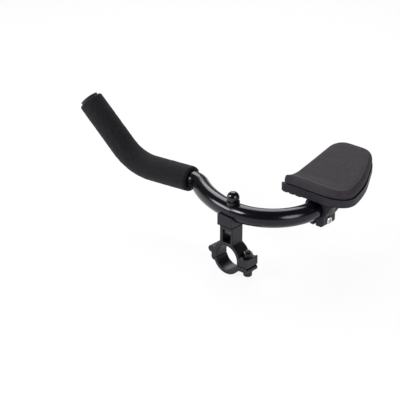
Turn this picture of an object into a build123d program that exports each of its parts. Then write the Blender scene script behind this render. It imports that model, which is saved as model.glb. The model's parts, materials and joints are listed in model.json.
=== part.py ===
from build123d import *
import os
from math import asin, cos, degrees, radians, sin

# Right-hand aero extension for a bicycle's base bar. X points forward, Y to the rider's left
# (inboard here) and Z up. The origin is the centre of the clamp's bore, with the base bar along Y.
# Lengths are in millimetres and angles in degrees.

# Base bar clamp
BAR_DIAMETER = 31.8
RING_WALL = 4.1
CLAMP_WIDTH = 18.6
SPLIT_Z = -4.0
SPLIT_GAP = 1.0
EAR_REACH = 31.4
EAR_EDGE = 1.0
JAW_EAR_EDGE = 2.8
UPPER_EAR_TOP = 7.8
LOWER_EAR_BOTTOM = -10.0
NUT_SEAT_Z = 6.4
CLAMP_BOLT_X = -24.6
CLAMP_BOLT_TOP = 15.4
HINGE_X = 24.0
HINGE_Z = 4.5
KNUCKLE_RADIUS = 4.0
KNUCKLE_WIDTH = 7.6
HINGE_PIN_RADIUS = 1.6

# Riser, saddle and the bolt that holds the tube, which stands a little outboard of the ring's middle
BOLT_Y = -1.7
RISER_TOP = 41.0
RISER_FRONT = 10.6
RISER_REAR = -8.6
RISER_EDGE = 0.8
NECK_HEIGHT = 0.9
NECK_INSET = 1.2
WINDOW_LENGTH = 12.4
WINDOW_BOTTOM = 19.8
WINDOW_TOP = 35.7
SADDLE_FRONT = 12.4
SADDLE_REAR = -9.6
SADDLE_INNER = 12.0
SADDLE_OUTER = -13.4
SADDLE_TOP = 54.4
CROWN_RADIUS = 7.8
CROWN_RISE = 1.4
DOME_RADIUS = 7.4
DOME_FLATS = 13.0
DOME_HEX_HEIGHT = 4.4
BOLT_IN_DOME = 7.5

# Tube: a bending schedule from the armrest end to the grip end
TUBE_DIAMETER = 22.2
TUBE_WALL = 2.0
TUBE_Z = 57.2
BOLT_HEADING = -5.0
BEND_RADIUS = 62.0
REAR_RUN = 47.0
SWEEP_RADIUS = 150.0
SWEEP_ANGLE = 30.0
FRONT_RUN = 1.0
S_BEND_RADIUS = 32.0
S_BEND_ANGLE = 43.0
MIDDLE_RUN = 54.0
RISE_ANGLE = 45.0
TIP_RUN = 71.0

# Grip and end plugs
GRIP_DIAMETER = 31.3
GRIP_LENGTH = 177.0
GRIP_EDGE = 1.6
PLUG_STEM = 18.0
REAR_PLUG_DIAMETER = 24.0
REAR_PLUG_EDGE = 2.4
REAR_PLUG_CROWN = 0.8
GRIP_PLUG_DIAMETER = 23.2
GRIP_PLUG_EDGE = 3.2
GRIP_PLUG_CROWN = 1.6

# Armrest bracket, measured from the tube's axis and its armrest end
BRACKET_FROM_END = 20.8
BRACKET_WIDTH = 22.0
BRACKET_WALL = 4.0
PLATFORM_AHEAD = 12.0
PLATFORM_BEHIND = 25.0
PLATFORM_RISE = 13.8
PLATFORM_THICKNESS = 5.0
LUG_DROP = 20.2
LUG_AHEAD = 9.0
LUG_BEHIND = 12.6
LUG_CORNER = 4.5
BRACKET_SLIT = 3.5
FLANK_DEPTH = 17.0
PINCH_DROP = 14.2
HEAD_RECESS = 5.1

# Armrest tray and pad, measured from the tube's axis and the bracket's middle
TRAY_AHEAD = 46.4
TRAY_BEHIND = 44.0
TRAY_BEHIND_MIDDLE = 36.0
TRAY_BEHIND_OUTER = 11.4
TRAY_INBOARD = 18.0
TRAY_MIDDLE_OUTBOARD = 37.5
TRAY_OUTBOARD = 86.8
FRONT_INNER_CORNER = 4.0
FRONT_OUTER_CORNER = 18.5
REAR_OUTER_CORNER = 27.5
REAR_MIDDLE_CORNER = 80.0
REAR_INNER_CORNER = 29.0
SEAT_LOW_OUTBOARD = 6.0
SEAT_LOW_RISE = 4.6
SEAT_RADIUS = 66.0
OUTER_SLOPE = 12.2
RIM_SLOPE = 14.2
TRAY_FLOOR = 3.0
RIM_HEIGHT = 9.2
RIM_WALL = 2.6
RIB_WIDTH = 6.5
RIB_DROP = 1.3
RIB_PITCH = 9.5
RIB_COUNT = 3
TRAY_SCREWS_BEHIND = 18.5
TRAY_SCREW_SPACING = 11.0
TRAY_SCREW_LENGTH = 9.5
SCREW_SEAT_RISE = 2.3
PAD_INSET = 0.3
PAD_FRONT_INSET = 2.8
PAD_LOW_OUTBOARD = 3.0
PAD_LOW_RISE = 15.4
PAD_RADIUS = 42.0
PAD_EDGE = 2.6

# Clearances
CLOSE_FIT = 0.05
HINGE_FIT = 0.15
HOLE_FIT = 0.25
PAD_GAP = 0.15

# Fasteners
M5 = dict(thread=2.5, head=4.25, head_height=5.0, key=4.0, nut_flats=8.0, nut_height=4.0, washer=4.5)
M6 = dict(thread=3.0, head=5.0, head_height=6.0, key=5.0, nut_flats=10.0, nut_height=6.0, washer=6.0)
M8 = dict(thread=4.0, head_length=17.2, head_height=5.3)
WASHER_THICKNESS = 1.2
PAN_HEAD_RADIUS = 4.5
PAN_HEAD_HEIGHT = 2.2

# Worked out from the above
BAR_RADIUS = BAR_DIAMETER / 2
RING_RADIUS = BAR_RADIUS + RING_WALL
HALF_CLAMP = CLAMP_WIDTH / 2
TUBE_RADIUS = TUBE_DIAMETER / 2
TUBE_BORE = TUBE_RADIUS - TUBE_WALL
TUBE_TOP = TUBE_Z + TUBE_RADIUS
CROWN_TOP = TUBE_TOP + CROWN_RISE
HOOK_ANGLE = 90 - BOLT_HEADING
ARM_X = BEND_RADIUS * (sin(radians(BOLT_HEADING)) - 1)
REAR_END_Y = BOLT_Y - BEND_RADIUS * cos(radians(BOLT_HEADING)) - REAR_RUN
BRACKET_OUTER_Y = REAR_END_Y + BRACKET_FROM_END
BRACKET_INNER_Y = BRACKET_OUTER_Y + BRACKET_WIDTH
BRACKET_Y = BRACKET_OUTER_Y + BRACKET_WIDTH / 2
PINCH_Z = TUBE_Z - PINCH_DROP
PLATFORM_Z = TUBE_Z + PLATFORM_RISE
SCREW_SEAT_Z = PLATFORM_Z + SCREW_SEAT_RISE
SEAT_LOW = Vector(-SEAT_LOW_OUTBOARD, PLATFORM_Z + SEAT_LOW_RISE)
PAD_LOW = Vector(-PAD_LOW_OUTBOARD, PLATFORM_Z + PAD_LOW_RISE)
ARMREST = Pos(ARM_X, BRACKET_Y, 0)
ABOVE_ALL = TUBE_TOP * 2
UP = Vector(0, 0, 1)
ON_BASE = (Align.CENTER, Align.CENTER, Align.MIN)
FLATS_FORE_AND_AFT = Rot(0, 0, 30)


def rod(start, end, radius):
    """Round bar between two points."""
    start, end = Vector(*start), Vector(*end)
    return Plane(origin=start, z_dir=end - start) * Cylinder(radius, (end - start).length, align=ON_BASE)


def block(low, high):
    """Box between two corners."""
    low, high = Vector(*low), Vector(*high)
    size = high - low
    return Pos(*((low + high) / 2)) * Box(size.X, size.Y, size.Z)


def along_y(sketch, low, high):
    """Sketch of X and Z, drawn out along Y."""
    return extrude(Plane.XZ.offset(-low) * sketch, high - low, dir=(0, 1, 0))


def hexagon(across_flats):
    return RegularPolygon(across_flats / 2, 6, major_radius=False)


def hex_body(across_flats, height):
    """Hexagon prism with its corners turned down at both ends."""
    corner = across_flats / 2 / cos(radians(30))
    blank = Cylinder(corner, height, align=ON_BASE)
    blank = chamfer(blank.edges().filter_by(GeomType.CIRCLE), (corner - across_flats / 2) * 0.6)
    return extrude(hexagon(across_flats), height) & blank


def socket_screw(seat, size, length):
    """Socket head screw. The seat lies under its head, with the shank along the seat's Z."""
    shank = Cylinder(size["thread"], length, align=ON_BASE)
    shank = chamfer(shank.edges().group_by(Axis.Z)[-1], size["thread"] / 4)
    head = Pos(0, 0, -size["head_height"]) * Cylinder(size["head"], size["head_height"], align=ON_BASE)
    head = chamfer(head.edges().group_by(Axis.Z)[0], size["head"] / 10)
    key = Pos(0, 0, -size["head_height"]) * extrude(hexagon(size["key"]), size["head_height"] / 2)
    return seat * (shank + head - key)


def hex_nut(seat, size):
    """Hex nut that stands on its seat."""
    hole = Cylinder(size["thread"] + CLOSE_FIT, size["nut_height"], align=ON_BASE)
    return seat * (hex_body(size["nut_flats"], size["nut_height"]) - hole)


def washer(seat, size):
    """Flat washer that stands on its seat."""
    ring = Cylinder(size["washer"], WASHER_THICKNESS, align=ON_BASE)
    return seat * (ring - Cylinder(size["thread"] + HOLE_FIT, WASHER_THICKNESS, align=ON_BASE))


# Tube


def bent_centreline():
    """Straight runs and tangent bends, from the armrest end to the grip end."""
    schedule = [
        (REAR_RUN, BEND_RADIUS, HOOK_ANGLE, "right"),
        (0, SWEEP_RADIUS, SWEEP_ANGLE, "right"),
        (FRONT_RUN, S_BEND_RADIUS, S_BEND_ANGLE, "left"),
        (MIDDLE_RUN, BEND_RADIUS, RISE_ANGLE, "up"),
    ]
    here, heading = Vector(ARM_X, REAR_END_Y, TUBE_Z), Vector(0, 1, 0)
    edges = []
    for run, radius, angle, turn in schedule:
        if run:
            edges.append(Line(here, here + heading * run))
            here = edges[-1] @ 1
        axis = {"right": -UP, "left": UP, "up": heading.cross(UP)}[turn]
        edges.append(Plane(origin=here, x_dir=heading, z_dir=axis) * JernArc((0, 0), (1, 0), radius, angle))
        here, heading = edges[-1] @ 1, edges[-1] % 1
    edges.append(Line(here, here + heading * TIP_RUN))
    return Wire(edges)


def along(path, sketch):
    """Sketch swept along a path."""
    return sweep(Plane(origin=path @ 0, z_dir=path % 0) * sketch, path=path)


CENTRELINE = bent_centreline()
TUBE_SEAT = along(CENTRELINE, Circle(TUBE_RADIUS + CLOSE_FIT))
BOLT_HOLE = rod((0, BOLT_Y, WINDOW_TOP), (0, BOLT_Y, CROWN_TOP), M8["thread"] + HOLE_FIT)


def extension_tube():
    return along(CENTRELINE, Circle(TUBE_RADIUS) - Circle(TUBE_BORE)) - BOLT_HOLE


def foam_grip():
    """Sleeve over the last stretch of the tube, with rounded rims."""
    path = CENTRELINE.trim(1 - GRIP_LENGTH / CENTRELINE.length, 1)
    sleeve = along(path, Circle(GRIP_DIAMETER / 2))
    ends = (path @ 0, path @ 1)
    rims = [rim for rim in sleeve.edges().filter_by(GeomType.CIRCLE)
            if min((rim.arc_center - end).length for end in ends) < CLOSE_FIT]
    return fillet(rims, GRIP_EDGE) - TUBE_SEAT


def end_plug(seat, diameter, edge, crown):
    """Crowned cap on a stem that fills the tube's end. The seat's Z points out of the tube."""
    stem, radius = TUBE_BORE - CLOSE_FIT, diameter / 2
    ball = (radius ** 2 + crown ** 2) / (2 * crown)
    top = JernArc((0, edge + crown), (1, 0), ball, -degrees(asin(radius / ball)))
    side = Polyline(top @ 1, (radius, 0), (stem, 0), (stem, -PLUG_STEM * 0.8), (stem * 0.85, -PLUG_STEM),
                    (0, -PLUG_STEM), (0, edge + crown))
    return seat * revolve(Plane.XZ * make_face(top + side), Axis.Z)


def rear_end_plug():
    seat = Plane(origin=CENTRELINE @ 0, z_dir=-(CENTRELINE % 0))
    return end_plug(seat, REAR_PLUG_DIAMETER, REAR_PLUG_EDGE, REAR_PLUG_CROWN)


def grip_end_plug():
    seat = Plane(origin=CENTRELINE @ 1, z_dir=CENTRELINE % 1)
    return end_plug(seat, GRIP_PLUG_DIAMETER, GRIP_PLUG_EDGE, GRIP_PLUG_CROWN)


# Clamp, riser and saddle


def across_clamp(radius):
    """Round bar along the base bar's axis, as wide as the clamp."""
    return rod((0, -HALF_CLAMP, 0), (0, HALF_CLAMP, 0), radius)


def clamp_ring(low, high):
    """Part of the ring round the base bar between two heights."""
    ring = across_clamp(RING_RADIUS) - across_clamp(BAR_RADIUS)
    return ring & block((-RING_RADIUS, -HALF_CLAMP, low), (RING_RADIUS, HALF_CLAMP, high))


def ear(low, high, upper_edge):
    """Block behind the ring that the clamp bolt goes through, with rounded rear edges."""
    body = block((-EAR_REACH, -HALF_CLAMP, low), (-BAR_RADIUS, HALF_CLAMP, high))
    body = fillet(body.edges().filter_by(Axis.Y).group_by(Axis.X)[0].sort_by(Axis.Z)[0], EAR_EDGE)
    return fillet(body.edges().filter_by(Axis.Y).group_by(Axis.Z)[-1].sort_by(Axis.X)[0], upper_edge)


def nut_ear(low):
    """Upper ear: a flat seat for the nut, with a lip behind it that keeps the nut from turning."""
    lip = CLAMP_BOLT_X - M6["nut_flats"] / 2 - HOLE_FIT
    above_seat = block((lip, -HALF_CLAMP, NUT_SEAT_Z), (0, HALF_CLAMP, UPPER_EAR_TOP))
    return ear(low, UPPER_EAR_TOP, EAR_EDGE) - above_seat


def riser():
    """Upright block of the clamp, with a short neck under the saddle."""
    post = block((RISER_REAR, -HALF_CLAMP, 0), (RISER_FRONT, HALF_CLAMP, RISER_TOP - NECK_HEIGHT))
    post = fillet(post.edges().filter_by(Axis.Z), RISER_EDGE)
    return post + block((RISER_REAR + NECK_INSET, NECK_INSET - HALF_CLAMP, WINDOW_BOTTOM),
                        (RISER_FRONT - NECK_INSET, HALF_CLAMP - NECK_INSET, RISER_TOP))


def bolt_passage():
    low, high = LOWER_EAR_BOTTOM - EAR_REACH, UPPER_EAR_TOP + EAR_REACH
    return rod((CLAMP_BOLT_X, 0, low), (CLAMP_BOLT_X, 0, high), M6["thread"] + HOLE_FIT)


def hinge_barrel(low, high, radius):
    return rod((HINGE_X, low, HINGE_Z), (HINGE_X, high, HINGE_Z), radius)


def hinge_lug(low, high):
    """One of the body's two hinge eyes, with the web that ties it to the ring."""
    web = block((BAR_RADIUS, low, HINGE_Z - KNUCKLE_RADIUS), (HINGE_X, high, HINGE_Z + KNUCKLE_RADIUS))
    return hinge_barrel(low, high, KNUCKLE_RADIUS) + web


def clamp_body():
    """Riser, upper half ring, hinge lugs and nut ear in one casting."""
    split = SPLIT_Z + SPLIT_GAP / 2
    lug_inner = KNUCKLE_WIDTH / 2 + HINGE_FIT
    body = riser() + clamp_ring(split, RING_RADIUS) + nut_ear(split)
    body += hinge_lug(lug_inner, HALF_CLAMP) + hinge_lug(-HALF_CLAMP, -lug_inner)
    body -= block((-WINDOW_LENGTH / 2, -HALF_CLAMP, WINDOW_BOTTOM), (WINDOW_LENGTH / 2, HALF_CLAMP, WINDOW_TOP))
    body -= hinge_barrel(-HALF_CLAMP, HALF_CLAMP, HINGE_PIN_RADIUS + CLOSE_FIT)
    top_hole = rod((0, BOLT_Y, WINDOW_TOP), (0, BOLT_Y, RISER_TOP), M8["thread"] + HOLE_FIT)
    return body - across_clamp(BAR_RADIUS) - bolt_passage() - top_hole


def clamp_jaw():
    """Lower half ring with its bolt ear and the knuckle that reaches up to the hinge."""
    split = SPLIT_Z - SPLIT_GAP / 2
    half = KNUCKLE_WIDTH / 2
    front = HINGE_X + KNUCKLE_RADIUS
    arm = block((RING_RADIUS + HINGE_FIT, -half, split - KNUCKLE_RADIUS), (front, half, HINGE_Z))
    arm += block((BAR_RADIUS, -half, split - KNUCKLE_RADIUS * 2), (front, half, split))
    arm = fillet(arm.edges().filter_by(Axis.Y).group_by(Axis.Z)[0].sort_by(Axis.X)[-1], KNUCKLE_RADIUS)
    jaw = clamp_ring(-RING_RADIUS, split) + ear(LOWER_EAR_BOTTOM, split, JAW_EAR_EDGE) + arm
    jaw += hinge_barrel(-half, half, KNUCKLE_RADIUS)
    jaw -= hinge_barrel(-half, half, HINGE_PIN_RADIUS + CLOSE_FIT)
    return jaw - across_clamp(BAR_RADIUS) - bolt_passage()


def hinge_pin():
    return hinge_barrel(-HALF_CLAMP, HALF_CLAMP, HINGE_PIN_RADIUS)


def clamp_bolt():
    seat_z = LOWER_EAR_BOTTOM - WASHER_THICKNESS
    return socket_screw(Pos(CLAMP_BOLT_X, 0, seat_z), M6, CLAMP_BOLT_TOP - seat_z)


def clamp_washer():
    return washer(Pos(CLAMP_BOLT_X, 0, LOWER_EAR_BOTTOM - WASHER_THICKNESS), M6)


def clamp_nut():
    return hex_nut(Pos(CLAMP_BOLT_X, 0, NUT_SEAT_Z) * FLATS_FORE_AND_AFT, M6)


def tube_saddle():
    """Block on the riser, hollowed along the tube."""
    body = block((SADDLE_REAR, SADDLE_OUTER, RISER_TOP), (SADDLE_FRONT, SADDLE_INNER, SADDLE_TOP))
    body = fillet(body.edges().filter_by(Axis.Z), RISER_EDGE)
    return body - TUBE_SEAT - BOLT_HOLE


def riser_bolt():
    """T-head bolt, its head held between the sides of the riser's window."""
    head = Box(WINDOW_LENGTH - HOLE_FIT * 2, M8["head_length"], M8["head_height"], align=ON_BASE)
    head = chamfer(head.edges().group_by(Axis.Z)[0], M8["head_height"] / 8)
    head = Pos(0, BOLT_Y, WINDOW_TOP - M8["head_height"]) * head
    return head + rod((0, BOLT_Y, WINDOW_TOP), (0, BOLT_Y, CROWN_TOP + BOLT_IN_DOME), M8["thread"])


def crown_washer():
    """Washer whose underside is hollowed to sit on the tube."""
    ring = rod((0, BOLT_Y, TUBE_Z), (0, BOLT_Y, CROWN_TOP), CROWN_RADIUS) - TUBE_SEAT
    return ring.solids().sort_by(Axis.Z)[-1] - BOLT_HOLE


def dome_nut():
    """Closed nut: a hexagon under a ball."""
    nut = hex_body(DOME_FLATS, DOME_HEX_HEIGHT)
    ball = Pos(0, 0, DOME_HEX_HEIGHT) * Sphere(DOME_RADIUS)
    above = Cylinder(DOME_RADIUS * 2, DOME_RADIUS * 3, align=ON_BASE)
    thread = Cylinder(M8["thread"] + CLOSE_FIT, BOLT_IN_DOME + HOLE_FIT, align=ON_BASE)
    return Pos(0, BOLT_Y, CROWN_TOP) * (nut + (ball & above) - thread)


# Armrest bracket


def bracket_section():
    """Outline round the tube's axis: a ring with a platform above, a flank behind and two lugs below."""
    under = PLATFORM_RISE - PLATFORM_THICKNESS
    waist = under - FLANK_DEPTH
    length = PLATFORM_AHEAD + PLATFORM_BEHIND
    middle = (PLATFORM_AHEAD - PLATFORM_BEHIND) / 2
    flank = make_face(Polyline((-PLATFORM_BEHIND + EAR_EDGE, under), (PLATFORM_AHEAD - EAR_EDGE, under),
                               (LUG_AHEAD, waist), (-LUG_BEHIND, waist), close=True))
    lugs = Pos((LUG_AHEAD - LUG_BEHIND) / 2, (waist - LUG_DROP) / 2)
    lugs *= Rectangle(LUG_AHEAD + LUG_BEHIND, waist + LUG_DROP)
    platform = Pos(middle, PLATFORM_RISE - PLATFORM_THICKNESS / 2) * Rectangle(length, PLATFORM_THICKNESS)
    below = Pos(0, PLATFORM_RISE - length) * Rectangle(length * 2, length * 2)
    section = flank + lugs + platform + (Circle(TUBE_RADIUS + BRACKET_WALL) & below)
    section = fillet(section.vertices().group_by(Axis.Y)[0], LUG_CORNER)
    section -= Circle(TUBE_RADIUS + HINGE_FIT / 2)
    slit = Rectangle(BRACKET_SLIT, LUG_DROP - TUBE_RADIUS + BRACKET_WALL / 2)
    return section - Pos(0, -(LUG_DROP + TUBE_RADIUS) / 2) * slit


def tray_screw_places():
    """Where the tray's screws stand, seen from the bracket's middle."""
    half = TRAY_SCREW_SPACING / 2
    return [Vector(-TRAY_SCREWS_BEHIND, side * half) for side in (-1, 1)]


def pinch_seat(ahead):
    """Plane on the pinch screw's axis, that far ahead of the head recess, facing forward."""
    x = ARM_X - LUG_BEHIND + HEAD_RECESS + ahead
    return Plane(origin=(x, BRACKET_Y, PINCH_Z), z_dir=(1, 0, 0), x_dir=(0, 1, 0))


def nut_seat():
    """Floor of the hex pocket in the front lug."""
    return pinch_seat(LUG_AHEAD + LUG_BEHIND - HEAD_RECESS - M5["nut_height"] / 2)


def armrest_bracket():
    """Clamp round the tube, split below, with a platform above for the tray."""
    body = along_y(Pos(ARM_X, TUBE_Z) * bracket_section(), BRACKET_OUTER_Y, BRACKET_INNER_Y)
    floor = pinch_seat(0)
    body -= floor * Cylinder(M5["thread"] + HOLE_FIT, LUG_AHEAD + LUG_BEHIND, align=ON_BASE)
    body -= floor * Cylinder(M5["washer"] + HOLE_FIT, PLATFORM_BEHIND, align=(Align.CENTER, Align.CENTER, Align.MAX))
    body -= nut_seat() * extrude(hexagon(M5["nut_flats"] + HOLE_FIT * 2), PLATFORM_BEHIND)
    for place in tray_screw_places():
        hole = rod((place.X, place.Y, PINCH_Z), (place.X, place.Y, PLATFORM_Z), M5["thread"] + CLOSE_FIT)
        body -= ARMREST * hole
    return body


def bracket_washer():
    return washer(pinch_seat(-WASHER_THICKNESS), M5)


def bracket_bolt():
    length = LUG_AHEAD + LUG_BEHIND - HEAD_RECESS + WASHER_THICKNESS + M5["nut_height"]
    return socket_screw(pinch_seat(-WASHER_THICKNESS), M5, length)


def bracket_nut():
    return hex_nut(nut_seat(), M5)


# Armrest tray and pad, drawn about the bracket's middle and then set in place


def trough(low, radius, offset=0, outer_slope=OUTER_SLOPE):
    """Points of a trough's section: a straight outboard flank, then an arc through the low point."""
    slope = radians(outer_slope)
    inner = asin((TRAY_INBOARD - low.X + RIM_WALL) / radius)
    centre, radius = low + Vector(0, radius), radius - offset
    points = [centre + Vector(sin(angle), -cos(angle)) * radius for angle in (-slope, (inner - slope) / 2, inner)]
    return [points[0] + Vector(-cos(slope), sin(slope)) * (low.X + TRAY_OUTBOARD)] + points


def seat(offset, outer_slope=OUTER_SLOPE):
    """Section of the tray's seating face, or of a face that far above it."""
    return trough(SEAT_LOW, SEAT_RADIUS, offset, outer_slope)


def plan(inset, front=TRAY_AHEAD):
    """The tray's outline seen from above, or one that far inside it."""
    corners = [(front, TRAY_INBOARD), (front, -TRAY_OUTBOARD), (-TRAY_BEHIND_OUTER, -TRAY_OUTBOARD),
               (-TRAY_BEHIND_MIDDLE, -TRAY_MIDDLE_OUTBOARD), (-TRAY_BEHIND, TRAY_INBOARD)]
    radii = [FRONT_INNER_CORNER, FRONT_OUTER_CORNER, REAR_OUTER_CORNER, REAR_MIDDLE_CORNER, REAR_INNER_CORNER]
    outline = make_face(FilletPolyline(*corners, radius=radii, close=True))
    return offset(outline, -inset) if inset else outline


def between(lower, upper, inside, front=TRAY_AHEAD, rear=-TRAY_BEHIND):
    """Solid between two trough sections, inside an outline."""
    outline = Line(lower[0], lower[1]) + ThreePointArc(*lower[1:]) + Line(lower[3], upper[3])
    outline += ThreePointArc(*upper[:0:-1]) + Line(upper[1], upper[0]) + Line(upper[0], lower[0])
    band = extrude(Plane.YZ.offset(rear) * make_face(outline), front - rear)
    return band & extrude(inside, ABOVE_ALL)


def boss_block(low, high):
    """Box over the bracket's platform between two heights, with a margin all round."""
    margin = RIM_WALL
    return block((-PLATFORM_BEHIND - margin, -BRACKET_WIDTH / 2 - margin, low),
                 (PLATFORM_AHEAD + margin, BRACKET_WIDTH / 2 + margin, high))


def armrest_tray():
    """Moulded floor with a skirt that tapers outboard, ribs at the front and a flat boss on the platform."""
    tray = between(seat(-RIM_HEIGHT, RIM_SLOPE), seat(0), plan(0))
    tray -= between(seat(-RIM_HEIGHT * 2), seat(-TRAY_FLOOR), plan(RIM_WALL))
    rib_edge = seat(-RIM_HEIGHT - RIB_DROP, RIM_SLOPE)
    rib = rib_edge, seat(-TRAY_FLOOR / 2), plan(RIM_WALL / 2)
    for index in range(RIB_COUNT):
        front = TRAY_AHEAD - RIM_WALL - RIB_PITCH * index
        tray += between(*rib, front, front - RIB_WIDTH)
    boss = between(seat(-RIM_HEIGHT * 2), seat(-TRAY_FLOOR / 2), plan(RIM_WALL / 2))
    tray += boss & boss_block(PLATFORM_Z, ABOVE_ALL)
    tray -= boss_block(0, PLATFORM_Z)
    for place in tray_screw_places():
        tray -= rod((place.X, place.Y, 0), (place.X, place.Y, ABOVE_ALL), M5["thread"] + HOLE_FIT)
        tray -= rod((place.X, place.Y, SCREW_SEAT_Z), (place.X, place.Y, ABOVE_ALL), PAN_HEAD_RADIUS + HOLE_FIT)
    return ARMREST * tray


def tray_screws():
    """Pan head screws through the tray into the bracket."""
    head = Cylinder(PAN_HEAD_RADIUS, PAN_HEAD_HEIGHT, align=ON_BASE)
    head = fillet(head.edges().group_by(Axis.Z)[-1], PAN_HEAD_HEIGHT / 3)
    screw = head + Pos(0, 0, -TRAY_SCREW_LENGTH) * Cylinder(M5["thread"], TRAY_SCREW_LENGTH, align=ON_BASE)
    seats = [ARMREST * Pos(place.X, place.Y, SCREW_SEAT_Z) for place in tray_screw_places()]
    return Compound(children=[place * screw for place in seats])


def arm_pad():
    """Foam pad on the tray, with a raised inboard lip and a rounded upper rim."""
    inside = plan(PAD_INSET, TRAY_AHEAD - PAD_FRONT_INSET)
    pad = between(seat(PAD_GAP), trough(PAD_LOW, PAD_RADIUS), inside)
    upper = [edge for face in pad.faces() if face.normal_at().Z > 0.5 for edge in face.edges()]
    rim = [edge for edge in upper if sum(edge.is_same(other) for other in upper) == 1]
    return ARMREST * fillet(rim, PAD_EDGE)


NODES = [clamp_body, clamp_jaw, hinge_pin, clamp_bolt, clamp_washer, clamp_nut, tube_saddle, riser_bolt,
         crown_washer, dome_nut, extension_tube, foam_grip, grip_end_plug, rear_end_plug, armrest_bracket,
         bracket_bolt, bracket_washer, bracket_nut, armrest_tray, tray_screws, arm_pad]

os.makedirs("parts", exist_ok=True)
for make in NODES:
    export_step(make(), f"parts/{make.__name__}.step")
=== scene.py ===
"""Right-hand aero handlebar extension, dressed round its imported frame. Lengths are in metres."""
import json
import math

import bmesh
import bpy
import numpy as np
from mathutils import Matrix, Vector, noise
from mathutils.bvhtree import BVHTree

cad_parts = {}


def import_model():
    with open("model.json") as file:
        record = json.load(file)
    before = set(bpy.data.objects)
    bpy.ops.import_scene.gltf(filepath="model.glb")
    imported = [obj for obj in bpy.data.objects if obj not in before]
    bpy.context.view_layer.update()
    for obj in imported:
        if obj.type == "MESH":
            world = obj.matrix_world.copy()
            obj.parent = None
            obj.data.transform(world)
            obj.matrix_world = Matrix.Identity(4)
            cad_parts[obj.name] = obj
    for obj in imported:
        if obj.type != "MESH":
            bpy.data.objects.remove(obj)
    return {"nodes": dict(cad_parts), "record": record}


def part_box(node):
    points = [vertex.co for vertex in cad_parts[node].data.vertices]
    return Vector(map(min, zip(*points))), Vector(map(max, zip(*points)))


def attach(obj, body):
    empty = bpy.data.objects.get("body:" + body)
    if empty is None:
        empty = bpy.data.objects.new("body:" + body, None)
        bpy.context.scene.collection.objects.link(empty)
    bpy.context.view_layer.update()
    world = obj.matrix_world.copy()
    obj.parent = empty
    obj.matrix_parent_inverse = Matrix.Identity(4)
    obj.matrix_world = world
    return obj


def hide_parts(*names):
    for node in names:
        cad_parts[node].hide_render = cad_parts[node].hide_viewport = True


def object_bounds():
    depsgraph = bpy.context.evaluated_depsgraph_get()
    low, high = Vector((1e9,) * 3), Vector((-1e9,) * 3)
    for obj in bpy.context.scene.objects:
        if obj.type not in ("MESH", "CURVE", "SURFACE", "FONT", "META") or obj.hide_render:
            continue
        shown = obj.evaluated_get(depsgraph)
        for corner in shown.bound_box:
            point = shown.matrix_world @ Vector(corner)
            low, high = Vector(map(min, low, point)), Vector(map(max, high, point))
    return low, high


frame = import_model()
cad_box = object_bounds()

MM = 0.001
X, Y, Z = range(3)
TINY = 1e-9

# Camera of the photograph
EYE = (-0.98854, 1.15426, 0.79311)
VIEW_RIGHT = (-0.7436, -0.6687, 0.0)
VIEW_UP = (0.2869, -0.3191, 0.9033)
LENS = 132.643
SENSOR = 36.0

# Soft lamps, each seen from the middle of what they light
LIT_MIDDLE = (0.0, -0.05, 0.06)
LAMPS = {
    "key": dict(towards=(0.381, 0.747, 0.545), distance=1.25, width=0.46, height=0.38, watts=7.7),
    "fill": dict(towards=(0.745, 0.582, 0.326), distance=1.25, width=0.62, height=0.40, watts=6.0),
    "right": dict(towards=(-0.886, 0.188, 0.423), distance=1.25, width=0.70, height=0.65, watts=7.2),
    "top": dict(towards=(0.456, -0.472, 0.755), distance=1.15, width=1.0, height=1.0, watts=11.0),
}

# Floor and room, which is pale at the horizon and dim above it
WHITE = (1.0, 1.0, 1.0, 1.0)
FLOOR_SIZE = 60.0
FLOOR_COLOUR = (0.9, 0.9, 0.9, 1.0)
FLOOR_SHADOW = 0.10
HORIZON_LIGHT = 0.6
HORIZON_LOW = 0.0
HORIZON_HIGH = 0.12
ROOM_LIGHT = 0.10

# Colours, mostly the darkest and the lightest tone of a finish
TUBE_COAT = (0.0015, 0.0015, 0.003), (0.003, 0.003, 0.0055)
CLAMP_COAT = (0.002, 0.002, 0.0035), (0.0045, 0.0045, 0.007)
# Pale edge colour of the casting: rubbed wear and a painted edge highlight
CLAMP_EDGE_WEAR_AND_HIGHLIGHT = (0.09, 0.09, 0.1)
PLASTIC_BODY = (0.010, 0.009, 0.0125), (0.017, 0.0155, 0.020)
# Pale edge colour of the plastic: rubbed wear and a painted edge highlight
PLASTIC_EDGE_WEAR_AND_HIGHLIGHT = (0.05, 0.05, 0.057)
PLUG_BODY = (0.006, 0.006, 0.007), (0.011, 0.011, 0.013)
FOAM_SKIN = (0.0035, 0.0035, 0.005), (0.0105, 0.010, 0.0135)
CLOTH_DYE = (0.030, 0.0255, 0.0315), (0.042, 0.036, 0.0445)
# Painted shade in the pressed line of the cloth
CLOTH_SEAM_SHADE = (0.016, 0.014, 0.017)
NUT_COAT = (0.002, 0.002, 0.003), (0.005, 0.005, 0.006)
BRIGHT_STEEL = (0.52, 0.52, 0.53), (0.68, 0.68, 0.68)
DARK_STEEL = (0.022, 0.022, 0.026), (0.05, 0.05, 0.055)
DULL_ZINC = (0.05, 0.05, 0.055), (0.11, 0.11, 0.115)
BLUE_SHINE = (0.89, 0.87, 1.0, 1.0)

# Shading: the range that most noise lies in, and how well rounded and flat normals agree from face to edge
NOISE_RANGE = (0.3, 0.7)
WHOLE = (0.0, 1.0)
EDGE_TURN = (0.995, 0.8)
EDGE_SAMPLES = 4
OPENNESS_SAMPLES = 8
# Width of the painted shadow line along the saddle's lower edge
JOINT_SHADE_BAND = 1.3 * MM
MARKS_STRETCH = (1, 1, 6)
LOOP_UNEVENNESS = 1.0

# Blender's own numbers: the angle that a wave turns through in a unit, and the mix node's colour sockets
WAVE_RATE = 20.0
MIX_INPUTS = (0, 6, 7)
MIX_RESULT = 2

# Soft copies of solids
WELD_GAP = 0.01 * MM
SMOOTH_FACTOR = 0.5

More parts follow.
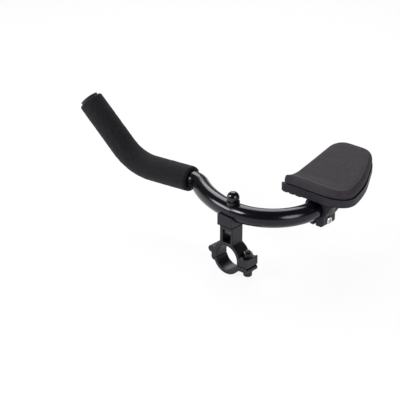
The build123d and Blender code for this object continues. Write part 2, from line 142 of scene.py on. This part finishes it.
# Pad: its section is read from the solid, its heights are shares of its thickness
PRESSED = "pressed"
PAD_VOXEL = 1.3 * MM
PAD_SMOOTHING = 2
PAD_SECTION_AHEAD = 0.75
PAD_SECTION_STEPS = 80
PAD_RIM = 3.0 * MM
PAD_CORNER_BLEND = 2.0 * MM
PAD_SHORTEST_SIDE = 0.05 * MM
PAD_OUTLINE_DIGITS = 6
PAD_BEVEL = 1.0 * MM
PAD_INNER_LEAN = 2.4 * MM
PAD_LEAN_CURVE = 1.3
PAD_REACH = 15 * MM
PAD_UNDERCUT = 1.6 * MM
PAD_UNDERCUT_HEIGHT = 0.3
PAD_SEAM_INSET = 1.8 * MM
PAD_SEAM_DEPTH = 0.6 * MM
PAD_SEAM_WIDTH = 0.7 * MM
PAD_SEAM_FACING = (0.3, 0.8)

# The pad's cover, blown up a little while its lower edge is held
SWELL_HELD_HEIGHT = 0.12
SWELL_LIMIT = 0.8 * MM
SWELL_STEPS = 20
SWELL_CLOTH = dict(quality=4, mass=0.2, tension_stiffness=20, compression_stiffness=20, bending_stiffness=1.0,
                   use_pressure=True, uniform_pressure_force=4.0)

# Grip: how near the tube its lining lies, and the size and share of the lumps in its skin
GRIP_VOXEL = 1.5 * MM
GRIP_SMOOTHING = 3
GRIP_LINING = 1.4 * MM
GRIP_CLEARANCE = 0.1 * MM
GRIP_ROUGH = 0.2 * MM
GRIP_LUMPS = {2.2 * MM: 1.0, 7 * MM: 0.8}

# Screws with an open end
THREAD_STEPS = 24
THREAD_ROOT = 0.05 * MM
THREAD_CREST = 0.12 * MM
THREAD_HALF_WIDTH = 0.35
KNURL_RIDGES = 40
KNURL_RISE = 0.16 * MM
KNURL_MARGIN = 0.7 * MM
SCREWS = {
    "clamp_bolt": dict(nut="clamp_nut", along=Z, across=X, shank_radius=3.0 * MM, pitch=1.0 * MM,
                       head_height=6.0 * MM, slot="dark_steel", body="frame"),
    "bracket_bolt": dict(nut="bracket_nut", along=X, across=Z, shank_radius=2.5 * MM, pitch=0.8 * MM,
                         head_height=5.0 * MM, slot="steel", body="armrest"),
}


# Materials


class Shader:
    """A node material under construction, with object coordinates and a principled surface."""

    def __init__(self, name, **constants):
        self.material = bpy.data.materials.new(name)
        self.material.use_nodes = True
        self.tree = self.material.node_tree
        self.surface = self.tree.nodes["Principled BSDF"]
        for socket, value in constants.items():
            self.surface.inputs[socket.replace("_", " ")].default_value = value
        self.coords = self.node("ShaderNodeTexCoord").outputs["Object"]

    def node(self, kind, inputs=(), **settings):
        """A new node with those settings, its inputs set to values or linked to sockets."""
        made = self.tree.nodes.new(kind)
        for key, value in settings.items():
            setattr(made, key, value)
        for key, value in dict(inputs).items():
            if isinstance(value, bpy.types.NodeSocket):
                self.tree.links.new(value, made.inputs[key])
            else:
                made.inputs[key].default_value = value
        return made

    def feed(self, socket, value):
        """Link a value to the surface."""
        self.tree.links.new(value, self.surface.inputs[socket])

    def noise(self, size, detail, vector=None):
        """Noise whose lumps are about that large."""
        vector = self.coords if vector is None else vector
        inputs = {"Vector": vector, "Scale": 1 / size, "Detail": detail}
        return self.node("ShaderNodeTexNoise", inputs).outputs["Fac"]

    def cells(self, size):
        """Distance from the middles of cells about that large."""
        inputs = {"Vector": self.coords, "Scale": 1 / size}
        return self.node("ShaderNodeTexVoronoi", inputs).outputs["Distance"]

    def bands(self, period, direction):
        """Parallel, slightly uneven waves with that spacing."""
        scale = 2 * math.pi / (WAVE_RATE * period)
        inputs = {"Vector": self.coords, "Scale": scale, "Distortion": LOOP_UNEVENNESS}
        return self.node("ShaderNodeTexWave", inputs, bands_direction=direction).outputs["Fac"]

    def maths(self, operation, first, second=0.0):
        return self.node("ShaderNodeMath", {0: first, 1: second}, operation=operation).outputs["Value"]

    def times(self, first, second):
        return self.maths("MULTIPLY", first, second)

    def plus(self, first, second, share=None):
        """A value with another, or a share of it, added."""
        return self.maths("ADD", first, second if share is None else self.times(second, share))

    def spread(self, value, between, onto):
        """The value, with one range of it spread onto another and clamped there."""
        names = ("From Min", "From Max", "To Min", "To Max")
        inputs = {"Value": value, **dict(zip(names, (*between, *onto)))}
        return self.node("ShaderNodeMapRange", inputs).outputs["Result"]

    def mixed(self, factor, first, second):
        """A colour between two, each a colour or a socket."""
        ends = [end if isinstance(end, bpy.types.NodeSocket) else (*end, 1.0) for end in (first, second)]
        inputs = dict(zip(MIX_INPUTS, (factor, *ends)))
        return self.node("ShaderNodeMix", inputs, data_type="RGBA").outputs[MIX_RESULT]

    def bump(self, height, depth, strength, edge=None):
        """Normals of that relief, over edges rounded to a radius if one is given."""
        inputs = {"Height": height, "Distance": depth, "Strength": strength}
        if edge is not None:
            inputs["Normal"] = self.rounded(edge)
        return self.node("ShaderNodeBump", inputs).outputs["Normal"]

    def rounded(self, radius):
        """Normals that run smoothly over sharp edges."""
        return self.node("ShaderNodeBevel", {"Radius": radius}, samples=EDGE_SAMPLES).outputs["Normal"]

    def edges(self, radius):
        """A mask that is 1 along sharp edges and 0 on flat faces."""
        flat = self.node("ShaderNodeNewGeometry").outputs["Normal"]
        inputs = {0: self.rounded(radius), 1: flat}
        facing = self.node("ShaderNodeVectorMath", inputs, operation="DOT_PRODUCT").outputs["Value"]
        return self.spread(facing, EDGE_TURN, WHOLE)

    def openness(self, reach):
        """A mask that is 1 on open faces and falls to 0 deep in joints and corners, used to paint shade
        there.
        """
        inputs = {"Distance": reach}
        return self.node("ShaderNodeAmbientOcclusion", inputs, samples=OPENNESS_SAMPLES).outputs["AO"]


def gloss_black_tube():
    """Gloss black tube: a faint unevenness of the shine and a fine grain in the coat."""
    shader = Shader("gloss_black_tube", Specular_IOR_Level=0.42, Specular_Tint=BLUE_SHINE)
    cloud = shader.noise(size=14 * MM, detail=4)
    grain = shader.noise(size=0.7 * MM, detail=2)
    shader.feed("Base Color", shader.mixed(cloud, *TUBE_COAT))
    shader.feed("Roughness", shader.spread(cloud, NOISE_RANGE, onto=(0.15, 0.2)))
    shader.feed("Normal", shader.bump(grain, depth=0.015 * MM, strength=0.2))
    return shader.material


def cast_clamp():
    """Coated casting: a fine skin, the coat rubbed thin along its edges with a painted highlight there,
    painted shade in its recesses and a painted shadow line along the saddle's lower edge.
    """
    shader = Shader("cast_clamp", Specular_Tint=BLUE_SHINE)
    skin = shader.noise(size=0.9 * MM, detail=4)
    cloud = shader.noise(size=9 * MM, detail=3)
    # Painted shadow line: the casting is kept dull and unworn in a band at the height of the saddle's lower
    # edge.
    height = shader.node("ShaderNodeSeparateXYZ", {"Vector": shader.coords}).outputs["Z"]
    from_joint = shader.maths("ABSOLUTE", shader.maths("SUBTRACT", height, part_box("tube_saddle")[0].z))
    clear = shader.spread(from_joint, between=(JOINT_SHADE_BAND / 2, JOINT_SHADE_BAND), onto=WHOLE)
    # Pale edges: rubbed wear, brightened as a painted edge highlight.
    patches = shader.spread(cloud, between=(0.4, 0.65), onto=(0.0, 0.8))
    worn_and_highlit_edges = shader.times(shader.times(shader.edges(radius=0.5 * MM), patches), clear)
    # Painted shade: the shine fades in recesses and joints.
    shine = shader.spread(shader.openness(reach=3 * MM), between=(0.3, 0.8), onto=(0.05, 0.42))
    shader.feed("Base Color", shader.mixed(worn_and_highlit_edges, shader.mixed(cloud, *CLAMP_COAT), CLAMP_EDGE_WEAR_AND_HIGHLIGHT))
    shader.feed("Roughness", shader.spread(skin, NOISE_RANGE, onto=(0.34, 0.5)))
    shader.feed("Specular IOR Level", shader.times(shine, clear))
    shader.feed("Normal", shader.bump(skin, depth=0.06 * MM, strength=0.5, edge=0.5 * MM))
    return shader.material


def moulded_plastic():
    """Satin plastic with a spark-eroded grain, paler along its edges from wear and a painted highlight, and
    painted shade in its joints.
    """
    shader = Shader("moulded_plastic", Specular_Tint=BLUE_SHINE)
    grain = shader.noise(size=0.6 * MM, detail=3)
    cloud = shader.noise(size=12 * MM, detail=3)
    # Pale edges: rubbed wear, brightened as a painted edge highlight.
    patches = shader.spread(cloud, between=(0.35, 0.7), onto=(0.1, 0.7))
    edge = shader.times(shader.edges(radius=0.6 * MM), patches)
    # Painted shade: the shine fades in recesses and joints.
    shine = shader.spread(shader.openness(reach=9 * MM), between=(0.35, 0.85), onto=(0.05, 0.38))
    shader.feed("Base Color", shader.mixed(edge, shader.mixed(cloud, *PLASTIC_BODY), PLASTIC_EDGE_WEAR_AND_HIGHLIGHT))
    shader.feed("Roughness", shader.spread(grain, NOISE_RANGE, onto=(0.42, 0.58)))
    shader.feed("Specular IOR Level", shine)
    shader.feed("Normal", shader.bump(grain, depth=0.05 * MM, strength=0.5, edge=0.6 * MM))
    return shader.material


def plug_plastic():
    """Shinier plastic with a fine grain."""
    shader = Shader("plug_plastic", Specular_IOR_Level=0.5)
    grain = shader.noise(size=0.8 * MM, detail=3)
    cloud = shader.noise(size=6 * MM, detail=3)
    shader.feed("Base Color", shader.mixed(cloud, *PLUG_BODY))
    shader.feed("Roughness", shader.spread(grain, NOISE_RANGE, onto=(0.32, 0.46)))
    shader.feed("Normal", shader.bump(grain, depth=0.04 * MM, strength=0.4, edge=0.6 * MM))
    return shader.material


def grip_foam():
    """Closed-cell foam: pores and lumps in a matte, mottled skin."""
    shader = Shader("grip_foam", Specular_IOR_Level=0.15, Sheen_Weight=0.05, Sheen_Roughness=0.6)
    pores = shader.cells(size=0.9 * MM)
    lumps = shader.noise(size=3 * MM, detail=5)
    fine = shader.noise(size=0.5 * MM, detail=3)
    height = shader.plus(pores, lumps, share=0.7)
    tone = shader.spread(shader.plus(fine, lumps), between=(0.88, 1.12), onto=WHOLE)
    shader.feed("Base Color", shader.mixed(tone, *FOAM_SKIN))
    shader.feed("Roughness", shader.spread(lumps, NOISE_RANGE, onto=(0.82, 0.95)))
    shader.feed("Normal", shader.bump(height, depth=0.35 * MM, strength=0.6))
    return shader.material


def pad_cloth():
    """Knitted cloth: two sets of fine loops over a mottled dye, with painted shade along the pressed line."""
    shader = Shader("pad_cloth", Specular_IOR_Level=0.2, Sheen_Weight=0.06, Sheen_Roughness=0.5)
    rows = shader.bands(period=1.1 * MM, direction="X")
    columns = shader.bands(period=0.8 * MM, direction="Y")
    loops = shader.times(rows, columns)
    fuzz = shader.noise(size=0.6 * MM, detail=3)
    mottle = shader.noise(size=5 * MM, detail=4)
    height = shader.plus(loops, fuzz, share=0.6)
    tone = shader.spread(shader.plus(mottle, loops, share=0.35), between=(0.4, 0.9), onto=WHOLE)
    # Painted shade along the pressed line.
    pressed = shader.node("ShaderNodeAttribute", attribute_name=PRESSED).outputs["Fac"]
    shader.feed("Base Color", shader.mixed(pressed, shader.mixed(tone, *CLOTH_DYE), CLOTH_SEAM_SHADE))
    shader.feed("Roughness", shader.spread(fuzz, NOISE_RANGE, onto=(0.8, 0.95)))
    shader.feed("Normal", shader.bump(height, depth=0.12 * MM, strength=0.5))
    return shader.material


def gloss_black_nut():
    """Deep gloss coat with a light ripple, with painted shade dulling it where it is hemmed in."""
    shader = Shader("gloss_black_nut")
    ripple = shader.noise(size=1.6 * MM, detail=2)
    tone = shader.noise(size=4 * MM, detail=3)
    # Painted shade: the shine fades where the nut is hemmed in.
    shine = shader.spread(shader.openness(reach=9 * MM), between=(0.7, 1.0), onto=(0.02, 0.5))
    shader.feed("Base Color", shader.mixed(tone, *NUT_COAT))
    shader.feed("Roughness", shader.spread(ripple, NOISE_RANGE, onto=(0.06, 0.1)))
    shader.feed("Specular IOR Level", shine)
    shader.feed("Normal", shader.bump(ripple, depth=0.02 * MM, strength=0.3, edge=0.5 * MM))
    return shader.material


def metal(name, tones, roughness):
    """Plated or blackened steel: fine marks and a little tarnish."""
    shader = Shader(name, Metallic=1.0)
    stretched = shader.node("ShaderNodeMapping", {"Vector": shader.coords, "Scale": MARKS_STRETCH})
    marks = shader.noise(size=0.4 * MM, detail=2, vector=stretched.outputs["Vector"])
    tarnish = shader.noise(size=3 * MM, detail=4)
    shader.feed("Base Color", shader.mixed(tarnish, *tones))
    shader.feed("Roughness", shader.spread(marks, NOISE_RANGE, onto=roughness))
    shader.feed("Normal", shader.bump(marks, depth=0.02 * MM, strength=0.4, edge=0.3 * MM))
    return shader.material


MATERIALS = {
    "black_tube": gloss_black_tube(),
    "cast_clamp": cast_clamp(),
    "moulded_plastic": moulded_plastic(),
    "plug_plastic": plug_plastic(),
    "grip_foam": grip_foam(),
    "pad_cloth": pad_cloth(),
    "black_nut": gloss_black_nut(),
    "steel": metal("bright_steel", BRIGHT_STEEL, roughness=(0.20, 0.36)),
    "dark_steel": metal("dark_steel", DARK_STEEL, roughness=(0.27, 0.43)),
}

# Nodes that the photograph shows in another finish than their slot's
OWN_LOOKS = {
    "clamp_nut": MATERIALS["dark_steel"],
    "riser_bolt": metal("dull_zinc", DULL_ZINC, roughness=(0.27, 0.43)),
}


def dress_nodes():
    """Give each CAD node the material of its slot, or its own."""
    for part in frame["record"]["subparts"]:
        materials = frame["nodes"][part["node"]].data.materials
        materials.clear()
        materials.append(OWN_LOOKS.get(part["node"], MATERIALS[part["material_slot"]]))


# Soft pieces


def vectors(mesh, field):
    """A field of the mesh's vertices as rows of three numbers."""
    flat = np.empty(len(mesh.vertices) * 3)
    mesh.vertices.foreach_get(field, flat)
    return flat.reshape(-1, 3)


def set_coordinates(mesh, points):
    mesh.vertices.foreach_set("co", np.asarray(points, float).ravel())
    mesh.update()


def tree_of(node):
    """Search tree over a node's faces."""
    mesh = frame["nodes"][node].data
    return BVHTree.FromPolygons([v.co for v in mesh.vertices], [p.vertices for p in mesh.polygons])


def evaluated(piece):
    """The piece's mesh with its modifiers applied, in place of the one it had."""
    graph = bpy.context.evaluated_depsgraph_get()
    mesh = bpy.data.meshes.new_from_object(piece.evaluated_get(graph))
    piece.modifiers.clear()
    piece.data = mesh
    return mesh


def soft_copy(node, name, voxel, smoothing):
    """A node's solid as an even, smoothed mesh of its own."""
    piece = bpy.data.objects.new(name, frame["nodes"][node].data.copy())
    bpy.context.scene.collection.objects.link(piece)
    weld = piece.modifiers.new("weld", "WELD")
    weld.merge_threshold = WELD_GAP
    remesh = piece.modifiers.new("remesh", "REMESH")
    remesh.mode = "VOXEL"
    remesh.voxel_size = voxel
    smooth = piece.modifiers.new("smooth", "SMOOTH")
    smooth.factor = SMOOTH_FACTOR
    smooth.iterations = smoothing
    evaluated(piece).materials.clear()
    return piece


def refined(piece):
    """The piece's mesh, subdivided once."""
    finer = piece.modifiers.new("finer", "SUBSURF")
    finer.levels = 1
    finer.render_levels = 1
    return evaluated(piece)


def finished(piece, node, slot, body):
    """Smooth the piece, dress it and let it stand for its node."""
    piece.data.materials.append(MATERIALS[slot])
    for polygon in piece.data.polygons:
        polygon.use_smooth = True
    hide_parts(node)
    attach(piece, body)


def convex_outline(points):
    """Counterclockwise hull of points in a plane."""
    order = sorted(map(tuple, np.round(points, PAD_OUTLINE_DIGITS)))

    def half(run):
        chain = []
        for point in run:
            while len(chain) > 1:
                (ax, ay), (bx, by) = chain[-2], chain[-1]
                if (bx - ax) * (point[1] - ay) - (by - ay) * (point[0] - ax) > 0:
                    break
                chain.pop()
            chain.append(point)
        return chain[:-1]

    return np.array(half(order) + half(order[::-1]))


def inset_from(points, outline):
    """How far points lie inside a convex outline, and the way further in. Corners are blended."""
    sides = np.roll(outline, -1, axis=0) - outline
    keep = np.linalg.norm(sides, axis=1) > PAD_SHORTEST_SIDE
    starts, sides = outline[keep], sides[keep]
    inward = np.stack([-sides[:, Y], sides[:, X]], axis=1) / np.linalg.norm(sides, axis=1)[:, None]
    distance = ((points[:, None, :] - starts[None]) * inward[None]).sum(axis=2)
    nearest = distance.min(axis=1)
    weight = np.exp(-(distance - nearest[:, None]) / PAD_CORNER_BLEND)
    way = (weight[:, :, None] * inward[None]).sum(axis=1)
    return nearest, way / (np.linalg.norm(way, axis=1)[:, None] + TINY)


def pad_heights(across):
    """Underside and top of the pad at each place across it, read from its solid."""
    low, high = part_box("arm_pad")
    tree = tree_of("arm_pad")
    ahead = low.x * (1 - PAD_SECTION_AHEAD) + high.x * PAD_SECTION_AHEAD
    up = Vector((0, 0, 1))
    found = []
    for y in across:
        bottom = tree.ray_cast(Vector((ahead, y, low.z)) - up, up)[0]
        top = tree.ray_cast(Vector((ahead, y, high.z)) + up, -up)[0]
        found.append((bottom.z, top.z))
    return np.array(found).T


def swell(piece, held):
    """Blow the piece up like a stuffed cover, with some points held."""
    group = piece.vertex_groups.new(name="held")
    group.add([int(index) for index in np.flatnonzero(held)], 1.0, "REPLACE")
    start = vectors(piece.data, "co")
    settings = piece.modifiers.new("cloth", "CLOTH").settings
    for name, value in SWELL_CLOTH.items():
        setattr(settings, name, value)
    settings.vertex_group_mass = group.name
    settings.effector_weights.gravity = 0
    scene = bpy.context.scene
    for step in range(SWELL_STEPS):
        scene.frame_set(step + 1)
    moved = vectors(evaluated(piece), "co") - start
    scene.frame_set(1)
    size = np.linalg.norm(moved, axis=1)[:, None]
    set_coordinates(piece.data, start + moved * np.minimum(1, SWELL_LIMIT / (size + TINY)))
    piece.vertex_groups.clear()


def lean_of(inward):
    """How far the pad's upper edge stands in from its lower one, most along the inboard side."""
    return PAD_BEVEL + PAD_INNER_LEAN * np.clip(-inward[:, Y], 0, 1) ** 2


def shape_sides(mesh, solid, outline):
    """Lean the pad's sides in and roll its lower edge under. Returns each point's share of the height."""
    points = vectors(mesh, "co")
    across = np.linspace(solid[:, Y].min() + PAD_RIM, solid[:, Y].max() - PAD_RIM, PAD_SECTION_STEPS)
    under, over = (np.interp(points[:, Y], across, heights) for heights in pad_heights(across))
    height = np.clip((points[:, Z] - under) / (over - under), 0, 1)
    inset, inward = inset_from(points[:, :Z], outline)
    rolled_under = PAD_UNDERCUT * np.clip(1 - height / PAD_UNDERCUT_HEIGHT, 0, 1)
    near_edge = np.clip(1 - inset / PAD_REACH, 0, 1)
    shift = (lean_of(inward) * height ** PAD_LEAN_CURVE + rolled_under) * near_edge
    points[:, :Z] += inward * shift[:, None]
    set_coordinates(mesh, points)
    return height


def press_line(mesh, outline):
    """Press a line round the pad's face and mark it for the painted shade in the cloth's colour."""
    points = vectors(mesh, "co")
    inset, inward = inset_from(points[:, :Z], outline)
    from_line = (inset - lean_of(inward) - PAD_SEAM_INSET) / PAD_SEAM_WIDTH
    on_face = np.interp(vectors(mesh, "normal")[:, Z], PAD_SEAM_FACING, WHOLE)
    pressed = np.exp(-from_line ** 2) * on_face
    points[:, Z] -= PAD_SEAM_DEPTH * pressed
    set_coordinates(mesh, points)
    mesh.attributes.new(PRESSED, "FLOAT", "POINT").data.foreach_set("value", pressed)


def arm_pad():
    """Foam pad: sides that lean in, a lower edge rolled under and a pressed line round its face."""
    piece = soft_copy("arm_pad", "forearm_pad", PAD_VOXEL, PAD_SMOOTHING)
    solid = vectors(frame["nodes"]["arm_pad"].data, "co")
    outline = convex_outline(solid[:, :Z])
    height = shape_sides(piece.data, solid, outline)
    swell(piece, height < SWELL_HELD_HEIGHT)
    press_line(refined(piece), outline)
    finished(piece, "arm_pad", "pad_cloth", "armrest")


def foam_grip():
    """Foam sleeve with an uneven skin, tight on the tube."""
    piece = soft_copy("foam_grip", "grip_sleeve", GRIP_VOXEL, GRIP_SMOOTHING)
    points, out = vectors(piece.data, "co"), vectors(piece.data, "normal")
    tube = tree_of("extension_tube")
    for index, row in enumerate(points):
        point = Vector(row)
        spot, face, _, gap = tube.find_nearest(point)
        if gap < GRIP_LINING:
            way = point - spot
            way = way.normalized() if way.dot(face) > 0 else face
            points[index] = spot + way * GRIP_CLEARANCE
        else:
            lumps = sum(share * noise.noise(point / size) for size, share in GRIP_LUMPS.items())
            points[index] += out[index] * lumps * GRIP_ROUGH
    set_coordinates(piece.data, points)
    refined(piece)
    finished(piece, "foam_grip", "grip_foam", "frame")


# Threads and knurls of the screws


def ridge(name, rings, place, slot, body):
    """Closed skin over a row of rings, set on a screw."""
    mesh = bpy.data.meshes.new(name)
    build = bmesh.new()
    rows = [[build.verts.new(place @ Vector(point)) for point in ring] for ring in rings]
    for before, after in zip(rows, rows[1:]):
        for index in range(len(before)):
            following = (index + 1) % len(before)
            build.faces.new((before[index], before[following], after[following], after[index]))
    build.faces.new(rows[0])
    build.faces.new(rows[-1][::-1])
    bmesh.ops.recalc_face_normals(build, faces=build.faces)
    build.to_mesh(mesh)
    build.free()
    mesh.materials.append(MATERIALS[slot])
    piece = bpy.data.objects.new(name, mesh)
    bpy.context.scene.collection.objects.link(piece)
    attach(piece, body)


def round_point(radius, angle, height):
    return (radius * math.cos(angle), radius * math.sin(angle), height)


def thread_rings(radius, pitch, length):
    """Sections of a helical ridge on a shank, from a height of 0 on."""
    root, crest = radius - THREAD_ROOT, radius + THREAD_CREST
    half = pitch * THREAD_HALF_WIDTH
    rings = []
    for step in range(round(length / pitch * THREAD_STEPS) + 1):
        turns = step / THREAD_STEPS
        angle, height = 2 * math.pi * turns, pitch * turns
        sides = ((root, height - half), (crest, height), (root, height + half))
        rings.append([round_point(reach, angle, level) for reach, level in sides])
    return rings


def knurl_rings(radius, length):
    """Sections of a sleeve of small straight ridges, from a height of 0 on."""
    run_out = KNURL_RISE * 2
    rings = []
    for height, rise in ((0, 0), (run_out, KNURL_RISE), (length - run_out, KNURL_RISE), (length, 0)):
        radii = [radius + rise * (index % 2) for index in range(KNURL_RIDGES * 2)]
        rings.append([round_point(reach, math.pi * index / KNURL_RIDGES, height)
                      for index, reach in enumerate(radii)])
    return rings


def screw_details(bolt, nut, along, across, shank_radius, pitch, head_height, slot, body):
    """Thread on a screw's open end, beyond its nut, and a knurl round its head."""
    low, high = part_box(bolt)
    direction = Vector([axis == along for axis in (X, Y, Z)])
    turn = direction.to_track_quat("Z", "Y").to_matrix().to_4x4()

    def place(height):
        middle = (low + high) / 2
        middle[along] = height
        return Matrix.Translation(middle) @ turn

    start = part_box(nut)[1][along] + pitch / 2
    thread = thread_rings(shank_radius, pitch, high[along] - pitch - start)
    ridge(f"{bolt}_thread", thread, place(start), slot, body)
    knurl = knurl_rings((high[across] - low[across]) / 2, head_height - KNURL_MARGIN * 2)
    ridge(f"{bolt}_knurl", knurl, place(low[along] + KNURL_MARGIN), slot, body)


# Stage, light and camera


def seen_or_lit(tree, seen, lit):
    """Shader that camera, mirror and glass rays see as one and light as another."""
    path = tree.nodes.new("ShaderNodeLightPath")
    looks = path.outputs["Is Camera Ray"]
    for ray in ("Is Glossy Ray", "Is Transmission Ray"):
        either = tree.nodes.new("ShaderNodeMath")
        either.operation = "MAXIMUM"
        tree.links.new(looks, either.inputs[0])
        tree.links.new(path.outputs[ray], either.inputs[1])
        looks = either.outputs["Value"]
    mix = tree.nodes.new("ShaderNodeMixShader")
    for index, socket in enumerate((looks, lit, seen)):
        tree.links.new(socket, mix.inputs[index])
    return mix.outputs["Shader"]


def floor_material():
    """White to the eye, with a light shadow, and pale grey to the light."""
    material = bpy.data.materials.new("floor")
    material.use_nodes = True
    tree = material.node_tree
    tree.nodes.clear()
    diffuse = tree.nodes.new("ShaderNodeBsdfDiffuse")
    diffuse.inputs["Color"].default_value = FLOOR_COLOUR
    white = tree.nodes.new("ShaderNodeEmission")
    shadowed = tree.nodes.new("ShaderNodeMixShader")
    shadowed.inputs[0].default_value = FLOOR_SHADOW
    tree.links.new(white.outputs["Emission"], shadowed.inputs[1])
    tree.links.new(diffuse.outputs["BSDF"], shadowed.inputs[2])
    output = tree.nodes.new("ShaderNodeOutputMaterial")
    mixed = seen_or_lit(tree, shadowed.outputs["Shader"], diffuse.outputs["BSDF"])
    tree.links.new(mixed, output.inputs["Surface"])
    return material


def floor():
    """Plain pale floor under the part."""
    mesh = bpy.data.meshes.new("floor")
    build = bmesh.new()
    bmesh.ops.create_grid(build, x_segments=1, y_segments=1, size=FLOOR_SIZE / 2)
    build.to_mesh(mesh)
    build.free()
    piece = bpy.data.objects.new("floor", mesh)
    piece.location = (0, 0, cad_box[0][Z])
    bpy.context.scene.collection.objects.link(piece)
    mesh.materials.append(floor_material())


def world():
    """Dim room with a pale horizon."""
    sky = bpy.data.worlds.new("studio")
    bpy.context.scene.world = sky
    sky.use_nodes = True
    tree = sky.node_tree
    direction = tree.nodes.new("ShaderNodeTexCoord")
    height = tree.nodes.new("ShaderNodeSeparateXYZ")
    fade = tree.nodes.new("ShaderNodeMapRange")
    fade.interpolation_type = "SMOOTHSTEP"
    for socket, value in (("From Min", HORIZON_LOW), ("From Max", HORIZON_HIGH),
                          ("To Min", HORIZON_LIGHT), ("To Max", ROOM_LIGHT)):
        fade.inputs[socket].default_value = value
    background = tree.nodes["Background"]
    background.inputs["Color"].default_value = WHITE
    tree.links.new(direction.outputs["Generated"], height.inputs["Vector"])
    tree.links.new(height.outputs["Z"], fade.inputs["Value"])
    tree.links.new(fade.outputs["Result"], background.inputs["Strength"])


def softbox(name, towards, distance, width, height, watts):
    """Soft lamp that far from the part in that direction."""
    light = bpy.data.lights.new(name, "AREA")
    light.shape = "ELLIPSE"
    light.size = width
    light.size_y = height
    light.energy = watts
    lamp = bpy.data.objects.new(name, light)
    towards = Vector(towards).normalized()
    lamp.location = Vector(LIT_MIDDLE) + towards * distance
    lamp.rotation_euler = towards.to_track_quat("Z", "Y").to_euler()
    lamp.visible_camera = False
    bpy.context.scene.collection.objects.link(lamp)


def camera():
    """The photograph's camera."""
    data = bpy.data.cameras.new("camera")
    data.lens = LENS
    data.sensor_width = SENSOR
    data.sensor_fit = "HORIZONTAL"
    eye = bpy.data.objects.new("camera", data)
    bpy.context.scene.collection.objects.link(eye)
    right = Vector(VIEW_RIGHT).normalized()
    back = right.cross(Vector(VIEW_UP)).normalized()
    turn = Matrix((right, back.cross(right), back)).transposed()
    eye.matrix_world = Matrix.Translation(EYE) @ turn.to_4x4()
    bpy.context.scene.camera = eye


dress_nodes()
arm_pad()
foam_grip()
for bolt, details in SCREWS.items():
    screw_details(bolt, **details)
floor()
world()
for name, lamp in LAMPS.items():
    softbox(name, **lamp)
camera()
bpy.context.scene.view_settings.view_transform = "Standard"
